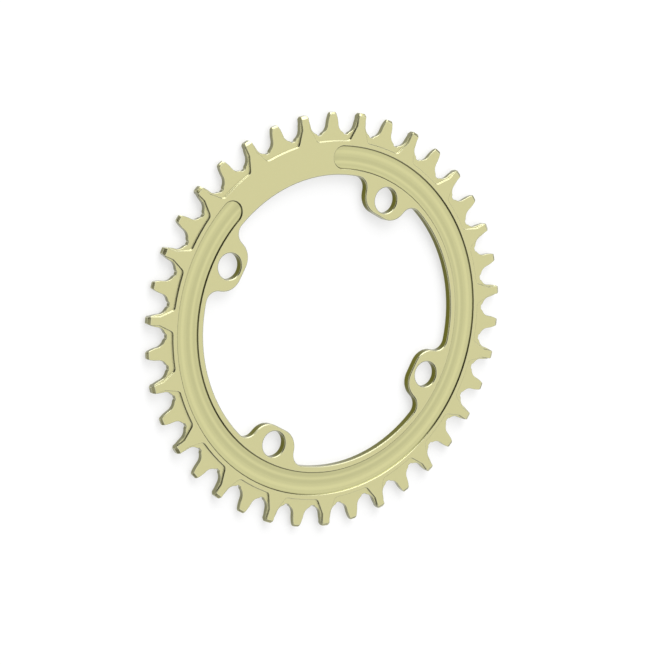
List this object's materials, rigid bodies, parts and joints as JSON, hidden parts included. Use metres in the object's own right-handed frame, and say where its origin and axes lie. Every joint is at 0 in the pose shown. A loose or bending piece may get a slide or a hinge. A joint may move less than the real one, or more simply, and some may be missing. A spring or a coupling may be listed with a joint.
{
  "type": "bicycle chainring",
  "caption": "Flat toothed ring for a bicycle crank, with wide and narrow teeth in turn, a shallow face groove, and bolt tabs inside its open centre.",
  "frame": {"origin": "on the ring's axis, at the back face that it lies on", "axes": "+Z is the ring's axis and leaves the grooved front face; +Y runs through the bolt hole in line with a wide tooth"},
  "size_m": [0.1618, 0.162, 0.0035],
  "materials": {
    "anodised_ring": "satin champagne anodising"
  },
  "bodies": {
    "root": {"chainring": "anodised_ring"}
  },
  "joints": []
}
